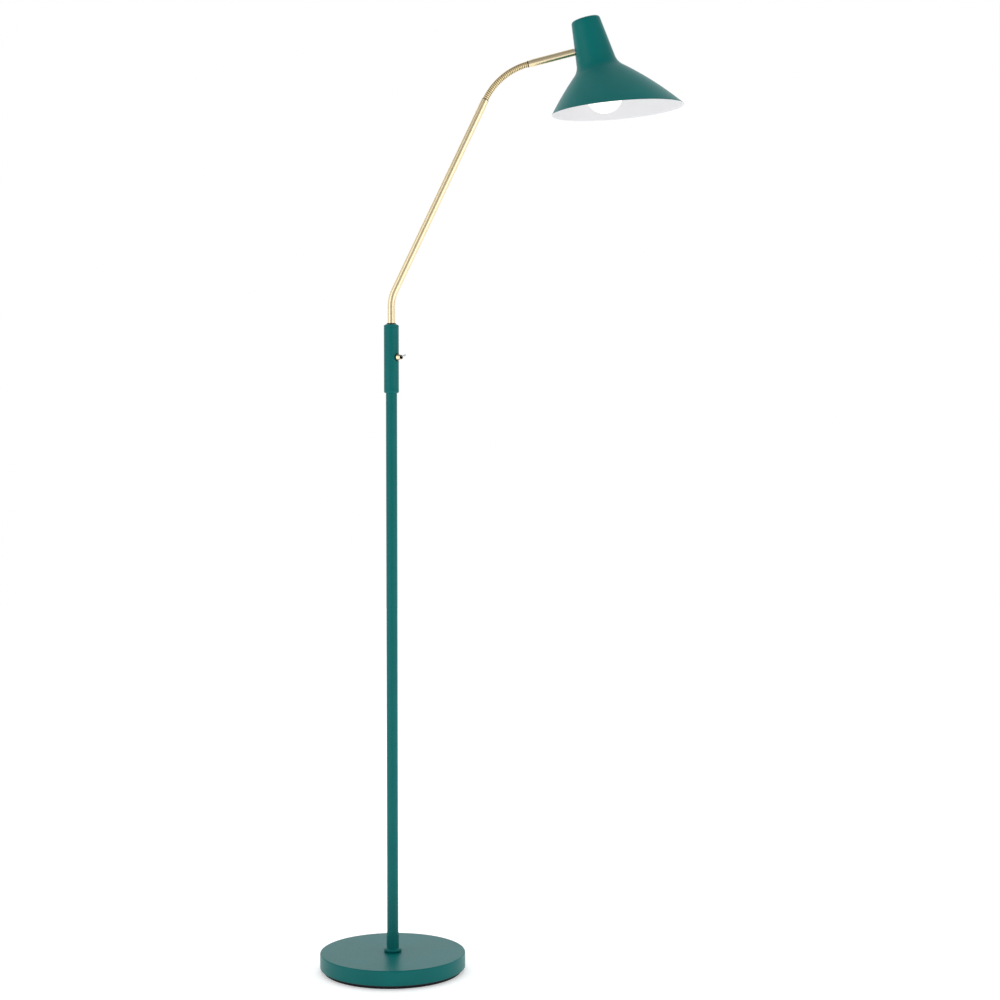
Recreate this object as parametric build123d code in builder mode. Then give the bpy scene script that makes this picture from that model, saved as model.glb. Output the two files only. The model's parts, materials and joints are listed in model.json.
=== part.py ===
"""Adjustable arm floor lamp.

A weighted round base carries a painted pole.  A switch housing at the pole's top holds a brass arm, which
swivels in it and ends in a gooseneck.  The gooseneck carries a spun shade on a side tube, with its lampholder
and bulb.  Millimetres, +Z up; the origin is on the floor on the pole's axis, and the arm reaches along +X.
"""

import os
from math import atan2, cos, degrees, pi, radians, sin, tan

from build123d import *

os.makedirs("parts", exist_ok=True)

# ---- driving dimensions --------------------------------------------------------------------------

# Base
BASE_R = 117.5
PAD_R = 112.0
PAD_T = 4.0
TRAY_T = 2.0
SHELL_H = 24.0
SHELL_WALL = 1.5
WEIGHT_R = 108.0
WEIGHT_T = 12.0
TRAY_SCREW_PCD_R = 80.0
TRAY_SCREW_R = 1.9
TRAY_SCREW_HEAD_R = 3.8
TRAY_SCREW_LENGTH = 8.0
NUT_POCKET_R = 16.0
NUT_POCKET_DEPTH = 7.0
SPACER_R = 14.0

# Threaded hollow nipples, M10 x 1
NIPPLE_R = 4.95
NIPPLE_BORE_R = 3.5
NIPPLE_HOLE_R = 5.3

# Pole and its foot
POLE_R = 9.0
POLE_WALL = 1.2
POLE_TOP_Z = 962.0
COLLAR_R = 10.0
COLLAR_TOP_Z = 60.5
FLANGE_R = 14.6
FLANGE_T = 6.0

# Flex inside the lamp
LEAD_R = 2.75
ARM_LEAD_R = 2.2
CORE_R = 0.9

# Switch housing
HOUSING_R = 12.0
HOUSING_BORE_R = 10.5
SPIGOT_R = 10.4
HOUSING_BOTTOM_Z = 934.2
HOUSING_TOP_Z = 1044.6
SLEEVE_BOTTOM_Z = HOUSING_BOTTOM_Z + 6.5
SLEEVE_TOP_Z = HOUSING_TOP_Z - 5.5
GRUB_R = 1.95
GRUB_ANGLE = 145.0
SHELF_TOP_Z = HOUSING_TOP_Z - 35.5

# Switch: its axis leaves the housing at SWITCH_ANGLE round from +X
SWITCH_Z = 991.5
SWITCH_ANGLE = -35.0
LEVER_PIVOT_R = 15.5
LEVER_TILT = 12.5
LEVER_LENGTH = 14.2

# Arm
TUBE_R = 6.0
TUBE_BORE_R = 5.0
ARM_LEAN = 25.56
KNEE_Z = 1085.8
KNEE_R = 60.0
ARM_RUN = 348.4
THRUST_WASHER_T = 1.5
ARM_FOOT_Z = SHELF_TOP_Z + THRUST_WASHER_T + 0.2
ARM_COLLAR_R = 8.4
ARM_COLLAR_HEIGHT = 10.6

# Gooseneck
GOOSE_LENGTH = 92.0
GOOSE_TURN = 49.9
GOOSE_HINGES = 6
GOOSE_R = 5.0
GOOSE_BORE_R = 2.6
GOOSE_END_RELIEF = 15.0
GOOSE_END_GAP = 0.15

# Head: distances along the shade's axis are measured down from the crown
SIDE_TUBE_REACH = 105.1
SIDE_TUBE_DROP = 46.7
SIDE_TUBE_VISIBLE = 75.4
SHADE_WALL = 1.0
CROWN_R = 22.8
CROWN_CORNER_R = 5.0
WAIST_R = 32.8
WAIST_DROP = 78.4
WAIST_FILLET_R = 26.0
FLARE_ANGLE = 48.7
FLARE_R = 534.0
FLARE_ARC = 15.6
RIM_DROP = 150.6
RIM_SLANT = 9.85

# Bulb, 60 mm pear
BULB_R = 30.0
BULB_CENTRE_DROP = 123.0

CLEARANCE = 0.05

# ---- places worked out from them -----------------------------------------------------------------

TRAY_TOP_Z = PAD_T + TRAY_T
SHELL_TOP_Z = TRAY_TOP_Z + SHELL_H
SHELL_UNDER_Z = SHELL_TOP_Z - SHELL_WALL
WEIGHT_TOP_Z = TRAY_TOP_Z + WEIGHT_T
POLE_FOOT_Z = SHELL_TOP_Z + 1.5
POCKET_TOP_Z = TRAY_TOP_Z + NUT_POCKET_DEPTH
LEAD_Z = WEIGHT_TOP_Z + LEAD_R + 0.75

ARM_RISE = 90 - ARM_LEAN
HEAD_RISE = ARM_RISE - GOOSE_TURN
GOOSE_BEND_R = GOOSE_LENGTH / radians(GOOSE_TURN)


def along(rise):
    """Unit vector in the arm's vertical plane, at an angle above +X."""
    return Vector(cos(radians(rise)), 0, sin(radians(rise)))


def square(rise):
    """Unit vector in the same plane, a quarter turn on from along(rise)."""
    return Vector(-sin(radians(rise)), 0, cos(radians(rise)))


def section(origin, rise):
    """Plane for profiles turned about a line at that angle: local y is the line, local x its radius."""
    return Plane(origin=origin, x_dir=square(rise), z_dir=(0, 1, 0))


KNEE = Vector(0, 0, KNEE_Z)
GOOSE_START = KNEE + along(ARM_RISE) * ARM_RUN
GOOSE_CENTRE = GOOSE_START - square(ARM_RISE) * GOOSE_BEND_R


def goose_point(share):
    """Point of the gooseneck's centreline, at that share of its length."""
    return GOOSE_CENTRE + square(ARM_RISE - GOOSE_TURN * share) * GOOSE_BEND_R


GOOSE_END = goose_point(1)
SHADE_FALL = HEAD_RISE - 90
CROWN = GOOSE_END + along(HEAD_RISE) * SIDE_TUBE_REACH - along(SHADE_FALL) * SIDE_TUBE_DROP
SHADE_SECTION = section(CROWN, SHADE_FALL)
SHADE_AXIS = Axis(CROWN, along(SHADE_FALL))
HEAD_SECTION = section(GOOSE_END, HEAD_RISE)
HEAD_AXIS = Axis(GOOSE_END, along(HEAD_RISE))

SWITCH_OUT = Vector(cos(radians(SWITCH_ANGLE)), sin(radians(SWITCH_ANGLE)), 0)
SWITCH_SIDE = Vector(-SWITCH_OUT.Y, SWITCH_OUT.X, 0)
SWITCH_CENTRE = Vector(0, 0, SWITCH_Z)
SWITCH_FACE = Plane(origin=SWITCH_CENTRE, x_dir=SWITCH_SIDE, z_dir=SWITCH_OUT)
SWITCH_SECTION = Plane(origin=SWITCH_CENTRE, x_dir=(0, 0, 1), z_dir=SWITCH_SIDE)
SWITCH_AXIS = Axis(SWITCH_CENTRE, SWITCH_OUT)


def save(part, name):
    """Names a finished piece and writes it as its own STEP."""
    part.label = name
    export_step(part, f"parts/{name}.step")


def turned(plane, axis, points):
    """Solid of revolution from a closed outline of (radius, distance along the axis) points."""
    with BuildPart() as piece:
        with BuildSketch(plane):
            with BuildLine():
                Polyline(*points, close=True)
            make_face()
        revolve(axis=axis)
    return piece.part


def ring(outer, inner, low, high):
    """Outline of a plain ring, for turned()."""
    return [(inner, low), (outer, low), (outer, high), (inner, high)]


def swept_round(route, radii, outer, inner=0.0):
    """Round bar or tube along straight runs joined by tangent arcs."""
    with BuildPart() as piece:
        with BuildLine() as path:
            FilletPolyline(*route, radius=radii)
        with BuildSketch(Plane(origin=path.line @ 0, z_dir=path.line % 0)):
            Circle(outer)
            if inner:
                Circle(inner, mode=Mode.SUBTRACT)
        sweep()
    made = piece.part
    length = path.wire().length
    share = made.volume / (length * pi * (outer**2 - inner**2))
    print(f"swept length {length:.1f} mm, arcs {radii} mm, volume over section times length {share:.4f}")
    return made


# ---- base ----------------------------------------------------------------------------------------

with BuildPart() as base_pad:
    with BuildSketch():
        Circle(PAD_R)
    extrude(amount=PAD_T)
    fillet(base_pad.edges().group_by(Axis.Z)[0], 0.8)
save(base_pad.part, "base_pad")

with BuildPart() as base_tray:
    with BuildSketch(Plane.XY.offset(PAD_T)):
        Circle(PAD_R + 1)
    extrude(amount=TRAY_T)
    with Locations(Plane(origin=(0, 0, PAD_T), z_dir=(0, 0, -1))):
        with PolarLocations(TRAY_SCREW_PCD_R, 4, start_angle=45):
            CounterSinkHole(
                radius=TRAY_SCREW_R + 0.3, counter_sink_radius=TRAY_SCREW_HEAD_R + 0.3, depth=TRAY_T
            )
save(base_tray.part, "base_tray")

with BuildPart() as tray_screws:
    with BuildSketch(Plane.XY.offset(PAD_T + 0.1)):
        with PolarLocations(TRAY_SCREW_PCD_R, 4, start_angle=45):
            Circle(TRAY_SCREW_HEAD_R)
    extrude(amount=1.8, taper=45)
    with BuildSketch(Plane.XY.offset(PAD_T + 0.1)):
        with PolarLocations(TRAY_SCREW_PCD_R, 4, start_angle=45):
            Circle(TRAY_SCREW_R)
    extrude(amount=TRAY_SCREW_LENGTH)
save(tray_screws.part, "tray_screws")

with BuildPart() as base_weight:
    with BuildSketch(Plane.XY.offset(TRAY_TOP_Z)):
        Circle(WEIGHT_R)
    extrude(amount=WEIGHT_T)
    chamfer(base_weight.edges().group_by(Axis.Z)[-1], 1.5)
    with BuildSketch(Plane.XY.offset(TRAY_TOP_Z)):
        Circle(NUT_POCKET_R)
    extrude(amount=NUT_POCKET_DEPTH, mode=Mode.SUBTRACT)
    with BuildSketch(Plane.XY.offset(TRAY_TOP_Z)):
        Circle(NIPPLE_HOLE_R)
    extrude(amount=WEIGHT_T, mode=Mode.SUBTRACT)
    with BuildSketch(Plane.XY.offset(TRAY_TOP_Z)):
        with PolarLocations(TRAY_SCREW_PCD_R, 4, start_angle=45):
            Circle(TRAY_SCREW_R + CLEARANCE)
    extrude(amount=TRAY_SCREW_LENGTH, mode=Mode.SUBTRACT)
save(base_weight.part, "base_weight")

# The spacer is open towards +Y, where the flex comes in.
with BuildPart() as base_spacer:
    with BuildSketch(Plane.XY.offset(WEIGHT_TOP_Z)):
        Circle(SPACER_R)
        Circle(NIPPLE_HOLE_R, mode=Mode.SUBTRACT)
        with Locations((0, SPACER_R)):
            Rectangle(2 * LEAD_R + 1.5, 2 * SPACER_R, mode=Mode.SUBTRACT)
    extrude(amount=SHELL_UNDER_Z - WEIGHT_TOP_Z)
save(base_spacer.part, "base_spacer")

GLAND_NECK_R = 4.5
with BuildPart() as base_shell:
    with BuildSketch(Plane.XY.offset(TRAY_TOP_Z)):
        Circle(BASE_R)
    extrude(amount=SHELL_H)
    fillet(base_shell.edges().group_by(Axis.Z)[-1], 2.0)
    fillet(base_shell.edges().group_by(Axis.Z)[0], 0.6)
    with BuildSketch(Plane.XY.offset(TRAY_TOP_Z)):
        Circle(BASE_R - SHELL_WALL)
    extrude(amount=SHELL_H - SHELL_WALL, mode=Mode.SUBTRACT)
    with BuildSketch(Plane.XY.offset(SHELL_UNDER_Z)):
        Circle(NIPPLE_HOLE_R)
    extrude(amount=SHELL_WALL, mode=Mode.SUBTRACT)
    with BuildSketch(Plane(origin=(0, BASE_R - 5, LEAD_Z), z_dir=(0, 1, 0))):
        Circle(GLAND_NECK_R + CLEARANCE)
    extrude(amount=10, mode=Mode.SUBTRACT)
save(base_shell.part, "base_shell")

# Rubber gland for the mains flex, gripping the shell's wall in its groove.
GLAND_FLANGE_R = 5.6
GLAND_BORE_R = 3.0
GLAND_IN_Y = BASE_R - SHELL_WALL - 2.9
GLAND_GROOVE_IN_Y = BASE_R - SHELL_WALL - 0.2
GLAND_GROOVE_OUT_Y = BASE_R + 0.1
gland_outline = [
    (GLAND_BORE_R, GLAND_IN_Y),
    (GLAND_FLANGE_R, GLAND_IN_Y),
    (GLAND_FLANGE_R, GLAND_GROOVE_IN_Y),
    (GLAND_NECK_R, GLAND_GROOVE_IN_Y),
    (GLAND_NECK_R, GLAND_GROOVE_OUT_Y),
    (GLAND_FLANGE_R, GLAND_GROOVE_OUT_Y),
    (GLAND_FLANGE_R - 1.0, GLAND_GROOVE_OUT_Y + 1.9),
    (GLAND_BORE_R, GLAND_GROOVE_OUT_Y + 1.9),
]
gland_centre = Vector(0, 0, LEAD_Z)
gland_plane = Plane(origin=gland_centre, x_dir=(1, 0, 0), z_dir=(0, 0, 1))
save(turned(gland_plane, Axis(gland_centre, (0, 1, 0)), gland_outline), "cord_gland")

NIPPLE_FOOT_Z = TRAY_TOP_Z + 1.5
NIPPLE_TOP_Z = 50.0
with BuildPart() as base_nipple:
    with BuildSketch(Plane.XY.offset(NIPPLE_FOOT_Z)):
        Circle(NIPPLE_R)
    extrude(amount=NIPPLE_TOP_Z - NIPPLE_FOOT_Z)
    chamfer(base_nipple.edges().group_by(Axis.Z)[0] + base_nipple.edges().group_by(Axis.Z)[-1], 0.5)
    with BuildSketch(Plane.XY.offset(NIPPLE_FOOT_Z)):
        Circle(NIPPLE_BORE_R)
    extrude(amount=NIPPLE_TOP_Z - NIPPLE_FOOT_Z, mode=Mode.SUBTRACT)
    with BuildSketch(Plane.XY.offset(WEIGHT_TOP_Z)):
        with Locations((0, NIPPLE_R)):
            Rectangle(2 * LEAD_R + 0.8, 2 * NIPPLE_R)
    extrude(amount=POLE_FOOT_Z - WEIGHT_TOP_Z, mode=Mode.SUBTRACT)
save(base_nipple.part, "base_nipple")

WASHER_R = 14.0
WASHER_T = 1.5
washer_outline = ring(WASHER_R, NIPPLE_HOLE_R, POCKET_TOP_Z - WASHER_T, POCKET_TOP_Z)
save(turned(Plane.XZ, Axis.Z, washer_outline), "nipple_washer")


def hex_nut(plane, across_flats, bore, thickness):
    """Chamfered hexagon nut that stands on the plane."""
    corner_r = across_flats / 2 / cos(radians(30))
    with BuildPart() as nut:
        with BuildSketch(plane):
            RegularPolygon(corner_r, 6)
        extrude(amount=thickness)
        with BuildSketch(plane):
            Circle(across_flats / 2 - 0.1)
        extrude(amount=thickness, taper=-30, mode=Mode.INTERSECT)
        with BuildSketch(plane):
            Circle(bore)
        extrude(amount=thickness, mode=Mode.SUBTRACT)
    return nut.part


NUT_T = 4.5
NUT_ACROSS_FLATS = 17.0
NUT_BORE_R = NIPPLE_R + 0.02
nut_plane = Plane.XY.offset(POCKET_TOP_Z - WASHER_T - NUT_T)
save(hex_nut(nut_plane, NUT_ACROSS_FLATS, NUT_BORE_R, NUT_T), "nipple_nut")

# ---- pole ----------------------------------------------------------------------------------------

with BuildPart() as pole_collar:
    with BuildSketch(Plane.XZ):
        with BuildLine():
            foot = Polyline(
                (NIPPLE_HOLE_R, SHELL_TOP_Z),
                (FLANGE_R - FLANGE_T / 2, SHELL_TOP_Z),
            )
            bead = TangentArc(foot @ 1, (FLANGE_R - FLANGE_T / 2, SHELL_TOP_Z + FLANGE_T), tangent=(1, 0))
            Polyline(
                bead @ 1,
                (COLLAR_R + 0.4, SHELL_TOP_Z + FLANGE_T),
                (COLLAR_R, SHELL_TOP_Z + FLANGE_T + 0.4),
                (COLLAR_R, COLLAR_TOP_Z - 0.5),
                (COLLAR_R - 0.5, COLLAR_TOP_Z),
                (POLE_R + CLEARANCE, COLLAR_TOP_Z),
                (POLE_R + CLEARANCE, POLE_FOOT_Z),
                (NIPPLE_HOLE_R, POLE_FOOT_Z),
                foot @ 0,
            )
        make_face()
    revolve(axis=Axis.Z)
save(pole_collar.part, "pole_collar")

POLE_BORE_R = POLE_R - POLE_WALL
save(
    turned(Plane.XZ, Axis.Z, ring(POLE_BORE_R - CLEARANCE, NUT_BORE_R, POLE_FOOT_Z, NIPPLE_TOP_Z + 2)),
    "pole_insert",
)
save(turned(Plane.XZ, Axis.Z, ring(POLE_R, POLE_BORE_R, POLE_FOOT_Z, POLE_TOP_Z)), "pole")

# ---- switch housing ------------------------------------------------------------------------------


def grub_bore(radius):
    """Cuts both grub screws' holes in the part being built, radially and on the side away from the switch."""
    for height in GRUB_HEIGHTS:
        with BuildSketch(Plane(origin=(0, 0, height), z_dir=GRUB_OUT)) as bore:
            Circle(radius)
        extrude(bore.sketch, amount=HOUSING_R + 2, mode=Mode.SUBTRACT)


GRUB_HEIGHTS = (HOUSING_BOTTOM_Z + 13, HOUSING_BOTTOM_Z + 21)
GRUB_OUT = Vector(cos(radians(GRUB_ANGLE)), sin(radians(GRUB_ANGLE)), 0)

with BuildPart() as housing_bottom_cap:
    with BuildSketch(Plane.XY.offset(HOUSING_BOTTOM_Z)):
        Circle(HOUSING_R)
    extrude(amount=SLEEVE_BOTTOM_Z - HOUSING_BOTTOM_Z)
    fillet(housing_bottom_cap.edges().group_by(Axis.Z)[0], 2.6)
    chamfer(housing_bottom_cap.edges().group_by(Axis.Z)[-1], 0.25)
    with BuildSketch(Plane.XY.offset(SLEEVE_BOTTOM_Z)):
        Circle(SPIGOT_R)
    extrude(amount=POLE_TOP_Z - 2 - SLEEVE_BOTTOM_Z)
    with BuildSketch(Plane.XY.offset(HOUSING_BOTTOM_Z)):
        Circle(POLE_R + CLEARANCE)
    extrude(amount=POLE_TOP_Z - HOUSING_BOTTOM_Z, mode=Mode.SUBTRACT)
    grub_bore(GRUB_R + CLEARANCE)
save(housing_bottom_cap.part, "housing_bottom_cap")

with BuildPart() as housing_grub_screws:
    for height in GRUB_HEIGHTS:
        at_pole = Vector(0, 0, height) + GRUB_OUT * (POLE_R + 0.1)
        at_skin = Vector(0, 0, height) + GRUB_OUT * (HOUSING_R - 0.3)
        with BuildSketch(Plane(origin=at_pole, z_dir=GRUB_OUT)):
            Circle(GRUB_R)
        extrude(amount=HOUSING_R - 0.4 - POLE_R)
        with BuildSketch(Plane(origin=at_skin, z_dir=-GRUB_OUT)):
            RegularPolygon(1.15, 6)
        extrude(amount=1.6, mode=Mode.SUBTRACT)
save(housing_grub_screws.part, "housing_grub_screws")

SWITCH_BUSH_R = 3.1
with BuildPart() as housing_sleeve:
    with BuildSketch(Plane.XY.offset(SLEEVE_BOTTOM_Z)):
        Circle(HOUSING_R)
    extrude(amount=SLEEVE_TOP_Z - SLEEVE_BOTTOM_Z)
    chamfer(housing_sleeve.edges().group_by(Axis.Z)[0] + housing_sleeve.edges().group_by(Axis.Z)[-1], 0.25)
    with BuildSketch(Plane.XY.offset(SLEEVE_BOTTOM_Z)):
        Circle(HOUSING_BORE_R)
    extrude(amount=SLEEVE_TOP_Z - SLEEVE_BOTTOM_Z, mode=Mode.SUBTRACT)
    with BuildSketch(SWITCH_FACE):
        Circle(SWITCH_BUSH_R + 0.1)
    extrude(amount=HOUSING_R + 2, mode=Mode.SUBTRACT)
    grub_bore(GRUB_R + CLEARANCE)
save(housing_sleeve.part, "housing_sleeve")

BUSH_NECK_R = 6.95
BUSH_LIP_R = 7.5
BUSH_FOOT_Z = HOUSING_TOP_Z - 20.6
top_cap_outline = [
    (BUSH_NECK_R + CLEARANCE, BUSH_FOOT_Z + 3),
    (SPIGOT_R, BUSH_FOOT_Z + 3),
    (SPIGOT_R, SLEEVE_TOP_Z),
    (HOUSING_R - 0.25, SLEEVE_TOP_Z),
    (HOUSING_R, SLEEVE_TOP_Z + 0.25),
    (HOUSING_R, HOUSING_TOP_Z - 2.6),
    (HOUSING_R - 0.7, HOUSING_TOP_Z - 1.7),
    (BUSH_LIP_R, HOUSING_TOP_Z),
    (BUSH_NECK_R + CLEARANCE, HOUSING_TOP_Z),
]
save(turned(Plane.XZ, Axis.Z, top_cap_outline), "housing_top_cap")

# Nylon bearing for the arm; its lip is the dark ring round the tube.
BUSH_BORE_R = TUBE_R + 0.06
bush_outline = [
    (BUSH_BORE_R, BUSH_FOOT_Z),
    (BUSH_NECK_R, BUSH_FOOT_Z),
    (BUSH_NECK_R, HOUSING_TOP_Z),
    (BUSH_LIP_R, HOUSING_TOP_Z),
    (BUSH_LIP_R, HOUSING_TOP_Z + 0.9),
    (BUSH_LIP_R - 0.5, HOUSING_TOP_Z + 1.4),
    (BUSH_BORE_R, HOUSING_TOP_Z + 1.4),
]
save(turned(Plane.XZ, Axis.Z, bush_outline), "swivel_bush")

# The shelf carries the arm's thrust washer, and its lug stops the arm before the flex twists too far.
SHELF_BORE_R = 4.5
LUG_IN_R = 8.9
LUG_SPREAD = 26.0
LUG_HEIGHT = 11.0
STOP_PIN_Z = SHELF_TOP_Z + 7
lug_start = radians(180 - LUG_SPREAD / 2)
lug_plane = Plane(
    origin=(0, 0, 0), x_dir=(cos(lug_start), sin(lug_start), 0), z_dir=(sin(lug_start), -cos(lug_start), 0)
)
with BuildPart() as swivel_shelf:
    with BuildSketch(Plane.XY.offset(SHELF_TOP_Z - 5)):
        Circle(SPIGOT_R)
        Circle(SHELF_BORE_R, mode=Mode.SUBTRACT)
    extrude(amount=5)
    with BuildSketch(lug_plane):
        with Locations(((LUG_IN_R + SPIGOT_R) / 2, SHELF_TOP_Z + LUG_HEIGHT / 2)):
            Rectangle(SPIGOT_R - LUG_IN_R, LUG_HEIGHT)
    revolve(axis=Axis.Z, revolution_arc=LUG_SPREAD)
save(swivel_shelf.part, "swivel_shelf")

thrust_top_z = SHELF_TOP_Z + THRUST_WASHER_T
save(turned(Plane.XZ, Axis.Z, ring(ARM_COLLAR_R, SHELF_BORE_R, SHELF_TOP_Z, thrust_top_z)), "thrust_washer")

# ---- switch: distances are outwards from the pole's axis -----------------------------------------

SWITCH_BODY_OUT = 9.4
SWITCH_BODY_IN = -0.4
SWITCH_BODY_W = 8.0
SWITCH_BODY_H = 12.7
BUSH_TIP_OUT = 21.2
with BuildPart() as switch_body:
    with BuildSketch(SWITCH_FACE.offset(SWITCH_BODY_IN)):
        Rectangle(SWITCH_BODY_W, SWITCH_BODY_H)
    extrude(amount=SWITCH_BODY_OUT - SWITCH_BODY_IN)
    fillet(switch_body.edges().filter_by(SWITCH_AXIS), 0.6)
save(switch_body.part, "switch_body")

TAG_PITCH = 4.7
TAG_LENGTH = 4.0
with BuildPart() as switch_tags:
    with BuildSketch(SWITCH_FACE.offset(SWITCH_BODY_IN)):
        with GridLocations(1, TAG_PITCH, 1, 3):
            Rectangle(1.5, 0.8)
    extrude(amount=-TAG_LENGTH)
save(switch_tags.part, "switch_tags")

# The bush's bore holds the lever's ball and widens to let the lever tilt.
BALL_R = 1.8
BUSH_MOUTH_R = 2.6
switch_bush_outline = [
    (BALL_R + CLEARANCE, SWITCH_BODY_OUT),
    (SWITCH_BUSH_R, SWITCH_BODY_OUT),
    (SWITCH_BUSH_R, BUSH_TIP_OUT - 0.3),
    (SWITCH_BUSH_R - 0.3, BUSH_TIP_OUT),
    (BUSH_MOUTH_R, BUSH_TIP_OUT),
    (BALL_R + CLEARANCE, LEVER_PIVOT_R + 1.5),
]
save(turned(SWITCH_SECTION, SWITCH_AXIS, switch_bush_outline), "switch_bush")

SWITCH_WASHER_IN = HOUSING_R + CLEARANCE
SWITCH_WASHER_T = 0.8
SWITCH_WASHER_R = 6.2
SWITCH_NUT_IN = SWITCH_WASHER_IN + SWITCH_WASHER_T
switch_washer_outline = ring(SWITCH_WASHER_R, SWITCH_BUSH_R + CLEARANCE, SWITCH_WASHER_IN, SWITCH_NUT_IN)
save(turned(SWITCH_SECTION, SWITCH_AXIS, switch_washer_outline), "switch_washer")

SWITCH_NUT_OUT = BUSH_TIP_OUT - 1.5
SWITCH_NUT_R = 5.2
SWITCH_NUT_TIP_R = 3.7
switch_nut_outline = [
    (SWITCH_BUSH_R + 0.02, SWITCH_NUT_IN),
    (SWITCH_NUT_R, SWITCH_NUT_IN),
    (SWITCH_NUT_R, SWITCH_NUT_IN + 0.8),
    (SWITCH_NUT_TIP_R, SWITCH_NUT_OUT),
    (SWITCH_BUSH_R + 0.02, SWITCH_NUT_OUT),
]
save(turned(SWITCH_SECTION, SWITCH_AXIS, switch_nut_outline), "switch_nut")

lever_tilt = radians(LEVER_TILT)
lever_out = SWITCH_OUT * cos(lever_tilt) + Vector(0, 0, 1) * sin(lever_tilt)
lever_pivot = SWITCH_CENTRE + SWITCH_OUT * LEVER_PIVOT_R
lever_plane = Plane(origin=lever_pivot, x_dir=lever_out.cross(SWITCH_SIDE), z_dir=SWITCH_SIDE)
LEVER_NECK_R = 0.9
LEVER_TIP_R = 1.4
LEVER_TAIL = 4.0
LEVER_TAIL_R = 0.7
with BuildPart() as switch_lever:
    with BuildSketch(lever_plane):
        with BuildLine():
            tail = Polyline((0, -LEVER_TAIL), (LEVER_TAIL_R, -LEVER_TAIL), (LEVER_TAIL_R, -1.6))
            neck = Polyline(
                (LEVER_NECK_R, 1.5), (LEVER_TIP_R, LEVER_LENGTH - LEVER_TIP_R)
            )
            ThreePointArc(tail @ 1, (BALL_R, 0), neck @ 0)
            RadiusArc(neck @ 1, (0, LEVER_LENGTH), -LEVER_TIP_R)
            Line((0, LEVER_LENGTH), tail @ 0)
        make_face()
    revolve(axis=Axis(lever_pivot, lever_out))
save(switch_lever.part, "switch_lever")

# ---- flex inside the stand -----------------------------------------------------------------------

MAINS_LEAD_TOP_Z = SWITCH_Z - 22
mains_route = [(0, BASE_R, LEAD_Z), (0, 0, LEAD_Z), (0, 0, MAINS_LEAD_TOP_Z)]
save(swept_round(mains_route, 8.0, LEAD_R), "mains_lead")


def inside_housing(out, side, height):
    """Point in the housing, by its distances towards and beside the switch's axis and its height."""
    return SWITCH_OUT * out + SWITCH_SIDE * side + Vector(0, 0, height)


CORE_SIDE = 1.2
CORE_FOOT_Z = MAINS_LEAD_TOP_Z + 0.1
CORE_TOP_Z = thrust_top_z - 0.6
LIVE_BACK = -5.6
NEUTRAL_BACK = -6.4
SPREAD_Z = MAINS_LEAD_TOP_Z + 5
SPREAD_TOP_Z = SPREAD_Z + 7
GATHER_Z = CORE_TOP_Z - 10.5
GATHER_TOP_Z = CORE_TOP_Z - 4.5
live_in = [(0, CORE_FOOT_Z), (0, SPREAD_Z), (LIVE_BACK, SPREAD_TOP_Z), (LIVE_BACK, SWITCH_Z - TAG_PITCH)]
live_out = [(LIVE_BACK, SWITCH_Z), (LIVE_BACK, GATHER_Z), (0, GATHER_TOP_Z), (0, CORE_TOP_Z)]
neutral = [
    (0, CORE_FOOT_Z),
    (0, SPREAD_Z),
    (NEUTRAL_BACK, SPREAD_TOP_Z),
    (NEUTRAL_BACK, GATHER_Z),
    (0, GATHER_TOP_Z),
    (0, CORE_TOP_Z),
]
cores = [
    swept_round([inside_housing(out, side, height) for out, height in run], 3.0, CORE_R)
    for run, side in ((live_in, CORE_SIDE), (live_out, CORE_SIDE), (neutral, -CORE_SIDE))
]
save(Compound(children=cores), "switch_wires")

# ---- arm -----------------------------------------------------------------------------------------

arm_foot = Vector(0, 0, ARM_FOOT_Z)
save(swept_round([arm_foot, KNEE, GOOSE_START], KNEE_R, TUBE_R, TUBE_BORE_R), "arm_tube")

STOP_PIN_R = 1.0
with BuildPart() as arm_collar:
    with BuildSketch(Plane.XY.offset(ARM_FOOT_Z)):
        Circle(ARM_COLLAR_R)
        Circle(TUBE_R + CLEARANCE, mode=Mode.SUBTRACT)
    extrude(amount=ARM_COLLAR_HEIGHT)
    with BuildSketch(Plane(origin=(0, 0, STOP_PIN_Z), z_dir=(1, 0, 0))):
        Circle(STOP_PIN_R + CLEARANCE)
    extrude(amount=HOUSING_R, mode=Mode.SUBTRACT)
save(arm_collar.part, "arm_collar")

with BuildPart() as arm_stop_pin:
    with BuildSketch(Plane(origin=(TUBE_R + 0.1, 0, STOP_PIN_Z), z_dir=(1, 0, 0))):
        Circle(STOP_PIN_R)
    extrude(amount=4.0)
save(arm_stop_pin.part, "arm_stop_pin")

HINGE_PITCH = GOOSE_LENGTH / GOOSE_HINGES
STUB_LENGTH = HINGE_PITCH / 2
LEAD_SETBACK = 1.1
lead_top = GOOSE_START + along(ARM_RISE) * (STUB_LENGTH - LEAD_SETBACK)
lead_foot = arm_foot + Vector(0, 0, 0.2)
save(swept_round([lead_foot, KNEE, lead_top], KNEE_R, ARM_LEAD_R), "arm_lead")

# ---- gooseneck -----------------------------------------------------------------------------------

RELIEF = tan(radians(GOOSE_END_RELIEF))


def relief(radius):
    """How far a link's conical end stands back from its hinge at a radius."""
    return radius * RELIEF + GOOSE_END_GAP


PLUG_R = TUBE_BORE_R - CLEARANCE
PLUG_LENGTH = 12.0
END_RING_R = 5.7
foot_outline = [
    (GOOSE_BORE_R, -PLUG_LENGTH),
    (PLUG_R, -PLUG_LENGTH),
    (PLUG_R, CLEARANCE),
    (END_RING_R, CLEARANCE),
    (END_RING_R, 0.8),
    (GOOSE_R, 0.8),
    (GOOSE_R, STUB_LENGTH - relief(GOOSE_R)),
    (GOOSE_BORE_R, STUB_LENGTH - relief(GOOSE_BORE_R)),
]
foot_plane = section(GOOSE_START, ARM_RISE)
save(turned(foot_plane, Axis(GOOSE_START, along(ARM_RISE)), foot_outline), "gooseneck_foot")

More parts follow.
